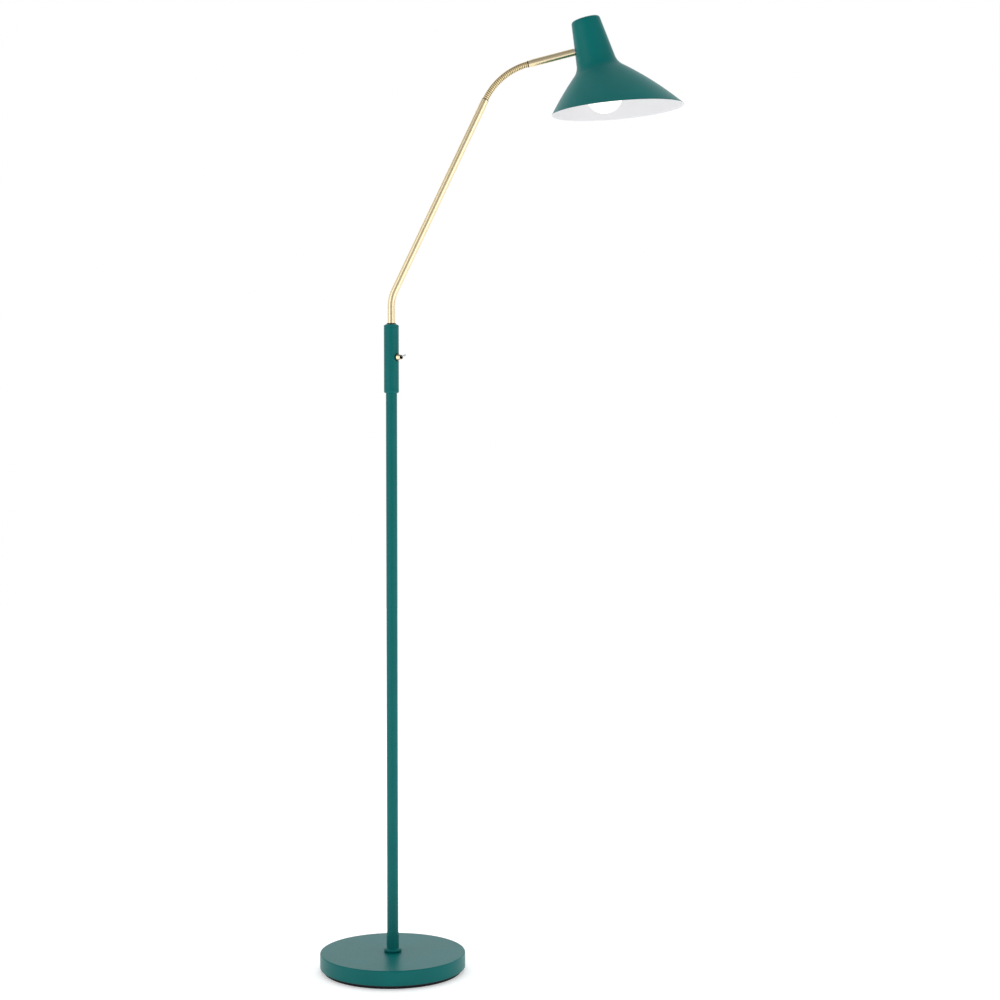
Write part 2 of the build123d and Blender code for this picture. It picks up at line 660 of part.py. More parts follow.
hinges = [goose_point((count + 0.5) / GOOSE_HINGES) for count in range(GOOSE_HINGES)]
for count in range(1, GOOSE_HINGES):
    start = hinges[count - 1]
    span = (hinges[count] - start).length
    rise = ARM_RISE - GOOSE_TURN * count / GOOSE_HINGES
    link_axis = Axis(start, along(rise))
    tube_outline = [
        (GOOSE_BORE_R, relief(GOOSE_BORE_R)),
        (GOOSE_R, relief(GOOSE_R)),
        (GOOSE_R, span - relief(GOOSE_R)),
        (GOOSE_BORE_R, span - relief(GOOSE_BORE_R)),
    ]
    core_outline = [
        (0, relief(0)),
        (ARM_LEAD_R, relief(ARM_LEAD_R)),
        (ARM_LEAD_R, span - relief(ARM_LEAD_R)),
        (0, span - relief(0)),
    ]
    link = [turned(section(start, rise), link_axis, outline) for outline in (tube_outline, core_outline)]
    save(Compound(children=link), f"gooseneck_link_{count:02d}")

# ---- head: side tube -----------------------------------------------------------------------------

SWAGE_LENGTH = 9.0
SWAGE_R = 5.2
SWAGE_BORE_R = 4.1
SWAGE_PLUG_R = SWAGE_BORE_R - CLEARANCE
head_stub_outline = [
    (GOOSE_BORE_R, relief(GOOSE_BORE_R) - STUB_LENGTH),
    (GOOSE_R, relief(GOOSE_R) - STUB_LENGTH),
    (GOOSE_R, -0.8),
    (END_RING_R - 0.3, -0.8),
    (END_RING_R - 0.3, -CLEARANCE),
    (SWAGE_PLUG_R, -CLEARANCE),
    (SWAGE_PLUG_R, SWAGE_LENGTH - 1),
    (GOOSE_BORE_R, SWAGE_LENGTH - 1),
]
save(turned(HEAD_SECTION, HEAD_AXIS, head_stub_outline), "gooseneck_head")

side_tube_outline = [
    (SWAGE_BORE_R, 0),
    (SWAGE_R, 0),
    (TUBE_R, SWAGE_LENGTH),
    (TUBE_R, SIDE_TUBE_VISIBLE),
    (TUBE_BORE_R, SIDE_TUBE_VISIBLE),
    (TUBE_BORE_R, SWAGE_LENGTH + 1),
    (SWAGE_BORE_R, SWAGE_LENGTH - 0.5),
]
save(turned(HEAD_SECTION, HEAD_AXIS, side_tube_outline), "side_tube")

BRACKET_T = 1.5
BRACKET_W = 14.0
BRACKET_FACE_R = 22.7
BRACKET_FACE_REACH = SIDE_TUBE_REACH - BRACKET_FACE_R
LOCKNUT_T = 2.5
LOCKNUT_ACROSS_FLATS = 14.0
NECK_SPACER_R = 7.4
NECK_SPACER_T = 2.85
tube_nut_reach = BRACKET_FACE_REACH + BRACKET_T + CLEARANCE
nipple_tip_reach = tube_nut_reach + LOCKNUT_T + 0.1
NIPPLE_START_REACH = SIDE_TUBE_VISIBLE - 12
nipple_outline = ring(NIPPLE_R, NIPPLE_BORE_R, NIPPLE_START_REACH, nipple_tip_reach)
save(turned(HEAD_SECTION, HEAD_AXIS, nipple_outline), "tube_nipple")
spacer_outline = ring(NECK_SPACER_R, NIPPLE_HOLE_R, BRACKET_FACE_REACH - NECK_SPACER_T, BRACKET_FACE_REACH)
save(turned(HEAD_SECTION, HEAD_AXIS, spacer_outline), "neck_spacer")
tube_nut_plane = Plane(origin=GOOSE_END + along(HEAD_RISE) * tube_nut_reach, z_dir=along(HEAD_RISE))

HEAD_LEAD_TIP = BRACKET_FACE_REACH + 1
head_lead_start = LEAD_SETBACK - STUB_LENGTH
head_sheath = turned(HEAD_SECTION, HEAD_AXIS, ring(ARM_LEAD_R, 0, head_lead_start, HEAD_LEAD_TIP))

# ---- head: shade ---------------------------------------------------------------------------------

neck_lean = atan2(WAIST_R - CROWN_R, WAIST_DROP)
flare_lean = radians(FLARE_ANGLE)
fillet_reach = WAIST_FILLET_R * tan((flare_lean - neck_lean) / 2)
neck_foot = (WAIST_R - fillet_reach * sin(neck_lean), WAIST_DROP - fillet_reach * cos(neck_lean))
# Radius at which the crown's corner arc is centred, so that it meets the leaning neck without a kink.
corner_centre_r = CROWN_R + CROWN_CORNER_R * (tan(neck_lean) - 1 / cos(neck_lean))
RIM_POINT = CROWN + along(SHADE_FALL) * RIM_DROP
RIM_PLANE = Plane(
    origin=RIM_POINT, x_dir=square(SHADE_FALL - RIM_SLANT), z_dir=along(SHADE_FALL - RIM_SLANT)
)


def shade_face(inset):
    """Half section of the solid inside the shade's skin, or inside a skin that far in from it."""
    with BuildLine() as outline:
        crown_top = Line((0, inset), (corner_centre_r, inset))
        corner = JernArc(crown_top @ 1, (1, 0), CROWN_CORNER_R - inset, 90 - degrees(neck_lean))
        foot = Vector(*neck_foot) + Vector(-cos(neck_lean), sin(neck_lean)) * inset
        neck = Line(corner @ 1, foot)
        waist = JernArc(neck @ 1, neck % 1, WAIST_FILLET_R + inset, degrees(neck_lean) - FLARE_ANGLE)
        flare = JernArc(waist @ 1, waist % 1, FLARE_R - inset, FLARE_ARC)
        Polyline(flare @ 1, (0, (flare @ 1).Y), (0, inset))
    make_face(outline.edges())


with BuildPart() as shade:
    with BuildSketch(SHADE_SECTION):
        shade_face(0)
    revolve(axis=SHADE_AXIS)
    with BuildSketch(RIM_PLANE):
        Circle(2 * RIM_DROP)
    extrude(amount=RIM_DROP, mode=Mode.SUBTRACT)
    with BuildSketch(SHADE_SECTION):
        shade_face(SHADE_WALL)
    revolve(axis=SHADE_AXIS, mode=Mode.SUBTRACT)
    with BuildSketch(Plane(origin=GOOSE_END + along(HEAD_RISE) * NIPPLE_START_REACH, z_dir=along(HEAD_RISE))):
        Circle(NIPPLE_HOLE_R)
    extrude(amount=BRACKET_FACE_REACH - NIPPLE_START_REACH, mode=Mode.SUBTRACT)
save(shade.part, "shade")

# ---- head: lampholder and bulb; distances are down the shade's axis from the crown ---------------

BRACKET_TOP_DROP = 25.0
bracket_foot_drop = SIDE_TUBE_DROP + 10.0
bracket_outline = [
    (-BRACKET_FACE_R, BRACKET_TOP_DROP),
    (10.0, BRACKET_TOP_DROP),
    (10.0, BRACKET_TOP_DROP + BRACKET_T),
    (BRACKET_T - BRACKET_FACE_R, BRACKET_TOP_DROP + BRACKET_T),
    (BRACKET_T - BRACKET_FACE_R, bracket_foot_drop),
    (-BRACKET_FACE_R, bracket_foot_drop),
]
with BuildPart() as holder_bracket:
    with BuildSketch(SHADE_SECTION):
        with BuildLine():
            Polyline(*bracket_outline, close=True)
        make_face()
    extrude(amount=BRACKET_W / 2, both=True)
    with BuildSketch(Plane(origin=CROWN, z_dir=along(SHADE_FALL))):
        Circle(NIPPLE_HOLE_R)
    extrude(amount=BRACKET_TOP_DROP + 5, mode=Mode.SUBTRACT)
    with BuildSketch(tube_nut_plane):
        Circle(NIPPLE_HOLE_R)
    extrude(amount=-5, mode=Mode.SUBTRACT)
save(holder_bracket.part, "holder_bracket")

holder_nipple_outline = ring(NIPPLE_R, NIPPLE_BORE_R, BRACKET_TOP_DROP - 4.5, BRACKET_TOP_DROP + 9)
save(turned(SHADE_SECTION, SHADE_AXIS, holder_nipple_outline), "holder_nipple")
holder_nut_plane = Plane(
    origin=CROWN + along(SHADE_FALL) * (BRACKET_TOP_DROP - CLEARANCE), z_dir=along(SHADE_FALL) * -1
)
nut_planes = (tube_nut_plane, holder_nut_plane)
locknuts = [hex_nut(plane, LOCKNUT_ACROSS_FLATS, NUT_BORE_R, LOCKNUT_T) for plane in nut_planes]
save(Compound(children=locknuts), "head_locknuts")

CAP_TOP = BRACKET_TOP_DROP + BRACKET_T + CLEARANCE
CAP_FOOT = BULB_CENTRE_DROP - 67
CAP_R = 16.0
CAP_TOP_R = 9.0
CAP_SHOULDER_R = 14.5
CAP_SHOULDER_H = 4.5
CAP_SIDE_H = 10.0
CAP_ROOF_T = 2.5
HOLDER_BORE_R = 14.6
cap_outline = [
    (NUT_BORE_R, CAP_TOP),
    (CAP_TOP_R, CAP_TOP),
    (CAP_SHOULDER_R, CAP_TOP + CAP_SHOULDER_H),
    (CAP_R, CAP_TOP + CAP_SIDE_H),
    (CAP_R, CAP_FOOT),
    (HOLDER_BORE_R, CAP_FOOT),
    (HOLDER_BORE_R, CAP_TOP + CAP_SIDE_H + 0.5),
    (CAP_SHOULDER_R - 1.3, CAP_TOP + CAP_SHOULDER_H + 1.5),
    (CAP_TOP_R - 0.5, CAP_TOP + CAP_ROOF_T),
    (NUT_BORE_R, CAP_TOP + CAP_ROOF_T),
]
CORE_ENTRY_DROP = 38.5
entry_plane = Plane(origin=CROWN + along(SHADE_FALL) * CORE_ENTRY_DROP, z_dir=square(SHADE_FALL) * -1)
with BuildPart() as holder_cap:
    with BuildSketch(SHADE_SECTION):
        with BuildLine():
            Polyline(*cap_outline, close=True)
        make_face()
    revolve(axis=SHADE_AXIS)
    with BuildSketch(entry_plane):
        SlotOverall(6.0, 3.0, rotation=90)
    extrude(amount=20, mode=Mode.SUBTRACT)
save(holder_cap.part, "holder_cap")

HOLDER_R = 19.0
HOLDER_MOUTH_R = 17.4
HOLDER_MOUTH = BULB_CENTRE_DROP - 44
body_outline = [
    (HOLDER_BORE_R, CAP_FOOT + CLEARANCE),
    (HOLDER_R - 1, CAP_FOOT + CLEARANCE),
    (HOLDER_R, CAP_FOOT + 1.5),
    (HOLDER_R, HOLDER_MOUTH - 1),
    (HOLDER_R - 0.6, HOLDER_MOUTH),
    (HOLDER_MOUTH_R, HOLDER_MOUTH),
    (HOLDER_MOUTH_R, HOLDER_MOUTH - 4),
    (HOLDER_BORE_R, HOLDER_MOUTH - 6),
]
save(turned(SHADE_SECTION, SHADE_AXIS, body_outline), "holder_body")

INSERT_TOP = BULB_CENTRE_DROP - 81
INSERT_FOOT = INSERT_TOP + 3.5
SHELL_OUT_R = HOLDER_BORE_R - 0.2
SHELL_IN_R = 13.7
SHELL_LENGTH = 26.5
save(turned(SHADE_SECTION, SHADE_AXIS, ring(SHELL_OUT_R, 0, INSERT_TOP, INSERT_FOOT)), "holder_insert")
shell_outline = ring(SHELL_OUT_R, SHELL_IN_R, INSERT_FOOT, INSERT_FOOT + SHELL_LENGTH)
save(turned(SHADE_SECTION, SHADE_AXIS, shell_outline), "holder_shell")
save(turned(SHADE_SECTION, SHADE_AXIS, ring(2.5, 0, INSERT_FOOT, INSERT_FOOT + 1.9)), "holder_contact")

# Two cores leave the side tube's nipple and turn in through the slot in the holder's cap.
CORE_RISER_R = 17.2
CORE_TIP_R = 9.0
CORE_TURN_R = 1.7


def inside_neck(radius, drop, side):
    """Point in the neck on the side tube's side, by its radius and distance down the shade's axis."""
    return CROWN + along(SHADE_FALL) * drop - square(SHADE_FALL) * radius + Vector(0, side, 0)


core_drops = [
    (SIDE_TUBE_REACH - HEAD_LEAD_TIP - 0.1, SIDE_TUBE_DROP),
    (CORE_RISER_R, SIDE_TUBE_DROP),
    (CORE_RISER_R, CORE_ENTRY_DROP),
    (CORE_TIP_R, CORE_ENTRY_DROP),
]
head_cores = [
    swept_round([inside_neck(radius, drop, side) for radius, drop in core_drops], CORE_TURN_R, CORE_R)
    for side in (-CORE_SIDE, CORE_SIDE)
]
save(Compound(children=[head_sheath] + head_cores), "head_lead")

BULB_TIP = BULB_CENTRE_DROP + BULB_R
CAP_BUTTON = INSERT_FOOT + 2
THREAD_TOP = CAP_BUTTON + 6.5
THREAD_FOOT = CAP_BUTTON + 25
THREAD_R = 13.2
bulb_cap_outline = [
    (0, CAP_BUTTON),
    (4.5, CAP_BUTTON),
    (4.5, CAP_BUTTON + 1.5),
    (10.5, CAP_BUTTON + 4.5),
    (THREAD_R, THREAD_TOP),
    (THREAD_R, THREAD_FOOT),
    (0, THREAD_FOOT),
]
save(turned(SHADE_SECTION, SHADE_AXIS, bulb_cap_outline), "bulb_cap")

GLASS_TOP = THREAD_FOOT + CLEARANCE
GLASS_NECK_FOOT = GLASS_TOP + 4
GLOBE_MEET = radians(70)
GLASS_WALL = 1.0


def globe_face(inset):
    """Half outline of the glass, that far inside its skin."""
    globe_r = BULB_R - inset
    meet = (globe_r * sin(GLOBE_MEET), BULB_CENTRE_DROP - globe_r * cos(GLOBE_MEET))
    neck_r = THREAD_R - inset
    with BuildLine() as outline:
        top = Line((0, GLASS_TOP + inset), (neck_r, GLASS_TOP + inset))
        side = Line(top @ 1, (neck_r, GLASS_NECK_FOOT))
        shoulder = Spline(side @ 1, meet, tangents=[(0, 1), (cos(GLOBE_MEET), sin(GLOBE_MEET))])
        tip = (0, BULB_CENTRE_DROP + globe_r)
        ThreePointArc(shoulder @ 1, (globe_r * sin(pi / 4), BULB_CENTRE_DROP + globe_r * cos(pi / 4)), tip)
        Line(tip, top @ 0)
    make_face(outline.edges())


with BuildPart() as bulb_glass:
    with BuildSketch(SHADE_SECTION):
        globe_face(0)
    revolve(axis=SHADE_AXIS)
    with BuildSketch(SHADE_SECTION):
        globe_face(GLASS_WALL)
    revolve(axis=SHADE_AXIS, mode=Mode.SUBTRACT)
save(bulb_glass.part, "bulb_glass")
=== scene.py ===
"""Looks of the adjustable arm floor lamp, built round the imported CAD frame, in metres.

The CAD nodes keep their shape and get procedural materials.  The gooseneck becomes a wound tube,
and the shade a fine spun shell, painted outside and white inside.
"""

import json
from math import atan2, cos, pi, radians, sin, tan

import bpy
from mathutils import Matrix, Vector


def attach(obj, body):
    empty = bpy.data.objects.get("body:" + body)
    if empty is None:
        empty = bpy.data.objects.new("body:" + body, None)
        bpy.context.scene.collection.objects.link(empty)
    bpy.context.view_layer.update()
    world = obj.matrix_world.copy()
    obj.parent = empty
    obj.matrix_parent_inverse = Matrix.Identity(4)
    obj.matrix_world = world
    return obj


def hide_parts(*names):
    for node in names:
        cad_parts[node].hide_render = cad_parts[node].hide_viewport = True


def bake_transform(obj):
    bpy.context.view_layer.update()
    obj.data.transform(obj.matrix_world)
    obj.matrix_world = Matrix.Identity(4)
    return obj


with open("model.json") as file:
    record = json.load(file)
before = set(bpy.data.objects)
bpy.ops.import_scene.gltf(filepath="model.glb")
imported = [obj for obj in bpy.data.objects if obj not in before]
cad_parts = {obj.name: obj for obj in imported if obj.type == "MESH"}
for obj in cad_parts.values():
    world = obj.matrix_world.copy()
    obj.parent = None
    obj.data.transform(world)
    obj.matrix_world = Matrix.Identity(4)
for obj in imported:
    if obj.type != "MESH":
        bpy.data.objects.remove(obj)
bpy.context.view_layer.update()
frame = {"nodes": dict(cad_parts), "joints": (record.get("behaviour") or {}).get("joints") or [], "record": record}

# ---- sizes ---------------------------------------------------------------------------------------

# Camera
LENS = 0.07306
SENSOR = 0.036
CAMERA_PLACE = (0.1739, -3.2564, 0.9089)
CAMERA_PITCH = radians(-2.57)

# Gooseneck: a round wire wound over a core
GOOSE_R = 0.0050
GOOSE_BORE_R = 0.0026
GOOSE_TURNS = 30
GROOVE_DEPTH = 0.00055
ROWS_PER_TURN = 10
GOOSE_SIDES = 36
END_RING_R = 0.0057
END_RING_LENGTH = 0.0008
END_RING_EDGE = 0.0002

# Head, measured along the side tube and down the shade's axis from the crown
SIDE_TUBE_REACH = 0.1051
SIDE_TUBE_DROP = 0.0467
SHADE_WALL = 0.0010
CROWN_R = 0.0228
CROWN_CORNER_R = 0.0050
WAIST_R = 0.0328
WAIST_DROP = 0.0784
WAIST_FILLET_R = 0.0260
FLARE_LEAN = radians(48.7)
FLARE_R = 0.534
FLARE_ARC = radians(15.6)
RIM_DROP = 0.1506
RIM_SLANT = radians(9.85)
RIM_ROUND = 0.0004

SHADE_SIDES = 192
CORNER_ROWS = 8
NECK_ROWS = 12
WAIST_ROWS = 16
FLARE_ROWS = 40
HALVINGS = 40

BULB_GLOW = 0.55

# ---- places worked out from the frame ------------------------------------------------------------


def circle_through(a, b, c):
    """Centre of the circle through three points of the arm's plane."""
    ax, az, bx, bz, cx, cz = a.x, a.z, b.x, b.z, c.x, c.z
    d = 2 * (ax * (bz - cz) + bx * (cz - az) + cx * (az - bz))
    squares = [x * x + z * z for x, z in ((ax, az), (bx, bz), (cx, cz))]
    x = (squares[0] * (bz - cz) + squares[1] * (cz - az) + squares[2] * (az - bz)) / d
    z = (squares[0] * (cx - bx) + squares[1] * (ax - cx) + squares[2] * (bx - ax)) / d
    return Vector((x, 0, z))


goose_joints = [joint for joint in frame["joints"] if joint["name"].startswith("gooseneck")]
hinges = [Vector(joint["pos_m"]) for joint in goose_joints]
PARTS = len(goose_joints)
goose_centre = circle_through(hinges[0], hinges[PARTS // 2], hinges[-1])
goose_bend_r = (hinges[0] - goose_centre).length


def bearing(point):
    """Angle of a point as seen from the gooseneck's centre, above +X."""
    return atan2(point.z - goose_centre.z, point.x - goose_centre.x)


STEP = (bearing(hinges[0]) - bearing(hinges[-1])) / (PARTS - 1)
START_BEARING = bearing(hinges[0]) + STEP / 2


def along(rise):
    """Unit vector in the arm's plane, at an angle above +X."""
    return Vector((cos(rise), 0, sin(rise)))


def square(rise):
    """Unit vector in the same plane, a quarter turn on."""
    return Vector((-sin(rise), 0, cos(rise)))


def goose_point(share):
    """Point of the gooseneck's centreline, and the direction outwards from its bend."""
    outwards = along(START_BEARING - STEP * PARTS * share)
    return goose_centre + outwards * goose_bend_r, outwards


goose_start, arm_square = goose_point(0)
goose_end, head_square = goose_point(1)
HEAD_RISE = atan2(head_square.z, head_square.x) - pi / 2
ARM_RISE = atan2(arm_square.z, arm_square.x) - pi / 2
SHADE_FALL = HEAD_RISE - pi / 2
down_axis = along(SHADE_FALL)
crown = goose_end + along(HEAD_RISE) * SIDE_TUBE_REACH - down_axis * SIDE_TUBE_DROP

# ---- materials -----------------------------------------------------------------------------------


def linear(code):
    """Linear colour from a six-digit code."""
    values = [int(code[i : i + 2], 16) / 255 for i in (0, 2, 4)]
    tones = [v / 12.92 if v <= 0.04045 else ((v + 0.055) / 1.055) ** 2.4 for v in values]
    return (*tones, 1.0)


def begin(name, metallic=0.0, specular=0.5):
    """New material with its node tree and shader."""
    made = bpy.data.materials.new(name)
    made.use_nodes = True
    shader = made.node_tree.nodes["Principled BSDF"]
    shader.inputs["Metallic"].default_value = metallic
    shader.inputs["Specular IOR Level"].default_value = specular
    return made, made.node_tree, shader


def placed(tree, stretch=(1, 1, 1)):
    """The piece's own coordinates, stretched."""
    coordinates = tree.nodes.new("ShaderNodeTexCoord")
    mapping = tree.nodes.new("ShaderNodeMapping")
    mapping.inputs["Scale"].default_value = stretch
    tree.links.new(coordinates.outputs["Object"], mapping.inputs["Vector"])
    return mapping.outputs["Vector"]


def noise(tree, scale, detail=2.0, stretch=(1, 1, 1)):
    """Noise whose features are about one over scale metres across."""
    node = tree.nodes.new("ShaderNodeTexNoise")
    node.inputs["Scale"].default_value = scale
    node.inputs["Detail"].default_value = detail
    tree.links.new(placed(tree, stretch), node.inputs["Vector"])
    return node.outputs["Fac"]


def cells(tree, scale):
    """Distance to the nearest cell's middle, for foam and castings."""
    node = tree.nodes.new("ShaderNodeTexVoronoi")
    node.inputs["Scale"].default_value = scale
    tree.links.new(placed(tree), node.inputs["Vector"])
    return node.outputs["Distance"]


def tint(tree, shader, share, dark, light):
    """Base colour that runs from dark to light with share."""
    mix = tree.nodes.new("ShaderNodeMix")
    mix.data_type = "RGBA"
    mix.inputs["A"].default_value = dark
    mix.inputs["B"].default_value = light
    tree.links.new(share, mix.inputs["Factor"])
    tree.links.new(mix.outputs["Result"], shader.inputs["Base Color"])


def remap(tree, value, low, high, start=0.0, end=1.0, kind="LINEAR"):
    """Value moved from the range start to end into the range low to high."""
    node = tree.nodes.new("ShaderNodeMapRange")
    node.interpolation_type = kind
    limits = {"From Min": start, "From Max": end, "To Min": low, "To Max": high}
    for socket, limit in limits.items():
        node.inputs[socket].default_value = limit
    tree.links.new(value, node.inputs["Value"])
    return node.outputs["Result"]


def gloss(tree, shader, share, low, high):
    """Roughness that runs from low to high with share."""
    tree.links.new(remap(tree, share, low, high), shader.inputs["Roughness"])


def relief(tree, shader, height, depth):
    """Bump of that depth in metres."""
    bump = tree.nodes.new("ShaderNodeBump")
    bump.inputs["Distance"].default_value = depth
    bump.inputs["Strength"].default_value = 1.0
    tree.links.new(height, bump.inputs["Height"])
    tree.links.new(bump.outputs["Normal"], shader.inputs["Normal"])


def powder_coat(name, dark, light, low=0.34, high=0.44, specular=0.14):
    """Satin powder coat: a faint drift of tone, and the orange peel that the powder leaves."""
    made, tree, shader = begin(name, specular=specular)
    tint(tree, shader, noise(tree, 14, 3), linear(dark), linear(light))
    gloss(tree, shader, noise(tree, 240, 3), low, high)
    relief(tree, shader, noise(tree, 750, 2), 0.00003)
    return made


def metal(name, dark, light, low, high, stretch=(1, 1, 1), scale=600, depth=0.000012):
    """Bare, plated or lacquered metal with fine working marks."""
    made, tree, shader = begin(name, metallic=1.0)
    tint(tree, shader, noise(tree, 60, 4, stretch), linear(dark), linear(light))
    gloss(tree, shader, noise(tree, scale, 3, stretch), low, high)
    relief(tree, shader, noise(tree, scale * 3, 2, stretch), depth)
    return made


def moulded(name, dark, light, low, high, scale=900, depth=0.00002):
    """Moulded plastic or rubber with a fine spark texture."""
    made, tree, shader = begin(name, specular=0.35)
    tint(tree, shader, noise(tree, 40, 3), linear(dark), linear(light))
    gloss(tree, shader, noise(tree, 300, 2), low, high)
    relief(tree, shader, noise(tree, scale, 4), depth)
    return made


def foam(name):
    """Closed-cell foam under the base."""
    made, tree, shader = begin(name, specular=0.2)
    tint(tree, shader, noise(tree, 90, 4), linear("17171b"), linear("26262c"))
    gloss(tree, shader, noise(tree, 200, 2), 0.85, 0.95)
    relief(tree, shader, cells(tree, 900), 0.00015)
    return made


def casting(name):
    """Rough iron casting."""
    made, tree, shader = begin(name, metallic=1.0)
    tint(tree, shader, noise(tree, 50, 5), linear("3a3836"), linear("5c5854"))
    gloss(tree, shader, noise(tree, 160, 4), 0.6, 0.8)
    relief(tree, shader, cells(tree, 420), 0.0003)
    return made


def wound_brass(name):
    """Brass of the gooseneck, with painted shade: dark brown down in its grooves."""
    made, tree, shader = begin(name, metallic=1.0)
    groove = tree.nodes.new("ShaderNodeAttribute")
    groove.attribute_name = "groove"
    # Painted shade: the colour runs to dark brown with the groove depth, standing in for the shade inside the
    # grooves.
    tint(tree, shader, groove.outputs["Fac"], linear("e8d5a8"), linear("6b4d24"))
    gloss(tree, shader, groove.outputs["Fac"], 0.24, 0.55)
    relief(tree, shader, noise(tree, 1500, 2), 0.00001)
    return made


def opal(name):
    """Opal glass of the bulb, glowing faintly warm."""
    made, tree, shader = begin(name, specular=0.5)
    tint(tree, shader, noise(tree, 30, 2), linear("fffdf2"), linear("fffffa"))
    gloss(tree, shader, noise(tree, 120, 2), 0.12, 0.2)
    relief(tree, shader, noise(tree, 60, 1), 0.00005)
    shader.inputs["Emission Color"].default_value = linear("fffbe8")
    shader.inputs["Emission Strength"].default_value = BULB_GLOW
    return made


FINISHES = {
    "teal_paint": powder_coat("teal_paint", "005a58", "006866"),
    "shade_paint": powder_coat("shade_paint", "005a58", "006c69"),
    "black_foam": foam("black_foam"),
    "black_plastic": moulded("black_plastic", "141416", "1f1f22", 0.4, 0.55),
    "cast_iron": casting("cast_iron"),
    "plated_steel": metal("plated_steel", "b9bcc0", "d3d6d9", 0.22, 0.38),
    "black_steel": metal("black_steel", "151412", "26231f", 0.3, 0.45),
    "nylon": moulded("nylon", "12110f", "1d1b18", 0.4, 0.55),
    "brass": metal("brass", "dccaa0", "ebdab8", 0.24, 0.34),
    "flex": moulded("flex", "0f0f10", "1b1b1d", 0.5, 0.65),
    "opal_glass": opal("opal_glass"),
}
# White enamel of the shade's inside, toned down to light grey: partly the paint's own white, partly painted shade
# for the shade's hollow.
ENAMEL_WITH_PAINTED_SHADE = powder_coat("white_enamel_painted_shade", "cacacc", "d2d2d4", 0.4, 0.5)
WOUND_BRASS = wound_brass("wound_brass")

for subpart in frame["record"]["subparts"]:
    node = frame["nodes"][subpart["node"]]
    node.data.materials.clear()
    node.data.materials.append(FINISHES[subpart["material_slot"]])

# ---- mesh pieces ---------------------------------------------------------------------------------


def mesh_piece(name, points, faces, materials, kinds=None):
    """Smooth-shaded object from points and faces; kinds picks each face's material."""
    mesh = bpy.data.meshes.new(name)
    mesh.from_pydata([tuple(p) for p in points], [], faces)
    for made in materials:
        mesh.materials.append(made)
    for face in mesh.polygons:
        face.use_smooth = True
        face.material_index = kinds[face.index] if kinds else 0
    mesh.update()
    piece = bpy.data.objects.new(name, mesh)
    bpy.context.scene.collection.objects.link(piece)
    return piece


def loop_faces(rows, sides, closed=False):
    """Quads between neighbouring rings of points, and from the last ring to the first if closed."""
    pairs = [(row, row + 1) for row in range(rows - 1)]
    if closed:
        pairs.append((rows - 1, 0))
    return [
        (a * sides + i, a * sides + (i + 1) % sides, b * sides + (i + 1) % sides, b * sides + i)
        for a, b in pairs
        for i in range(sides)
    ]


def gooseneck_piece(number):
    """One stretch of the wound tube: its outer wall with the helical ridge, then its bore back."""
    rows = round(ROWS_PER_TURN * GOOSE_TURNS / PARTS)
    points, grooves = [], []
    for wall in ("skin", "bore"):
        order = range(rows + 1) if wall == "skin" else range(rows, -1, -1)
        for row in order:
            share = (number + row / rows) / PARTS
            middle, outwards = goose_point(share)
            for side in range(GOOSE_SIDES):
                turn = side / GOOSE_SIDES
                ridge = abs(sin(pi * (share * GOOSE_TURNS - turn)))
                depth = 1 - ridge if wall == "skin" else 1
                radius = GOOSE_R - GROOVE_DEPTH * depth if wall == "skin" else GOOSE_BORE_R
                angle = 2 * pi * turn
                points.append(middle + (outwards * cos(angle) + Vector((0, sin(angle), 0))) * radius)
                grooves.append(depth)
    faces = loop_faces(2 * (rows + 1), GOOSE_SIDES, closed=True)
    piece = mesh_piece(f"gooseneck_wound_{number + 1:02d}", points, faces, [WOUND_BRASS])
    attribute = piece.data.attributes.new("groove", "FLOAT", "POINT")
    attribute.data.foreach_set("value", grooves)
    return piece


def end_ring(name, place, rise):
    """Dark ring that closes one end of the gooseneck; it reaches along the rise from its place."""
    outline = [
        (GOOSE_BORE_R, 0.0),
        (END_RING_R - END_RING_EDGE, 0.0),
        (END_RING_R, END_RING_EDGE),
    ]
    outline += [(r, END_RING_LENGTH - h) for r, h in reversed(outline)]
    points = [
        place + along(rise) * h + (square(rise) * cos(angle) + Vector((0, sin(angle), 0))) * r
        for r, h in outline
        for angle in (2 * pi * side / GOOSE_SIDES for side in range(GOOSE_SIDES))
    ]
    faces = loop_faces(len(outline), GOOSE_SIDES, closed=True)
    return mesh_piece(name, points, faces, [FINISHES["black_steel"]])


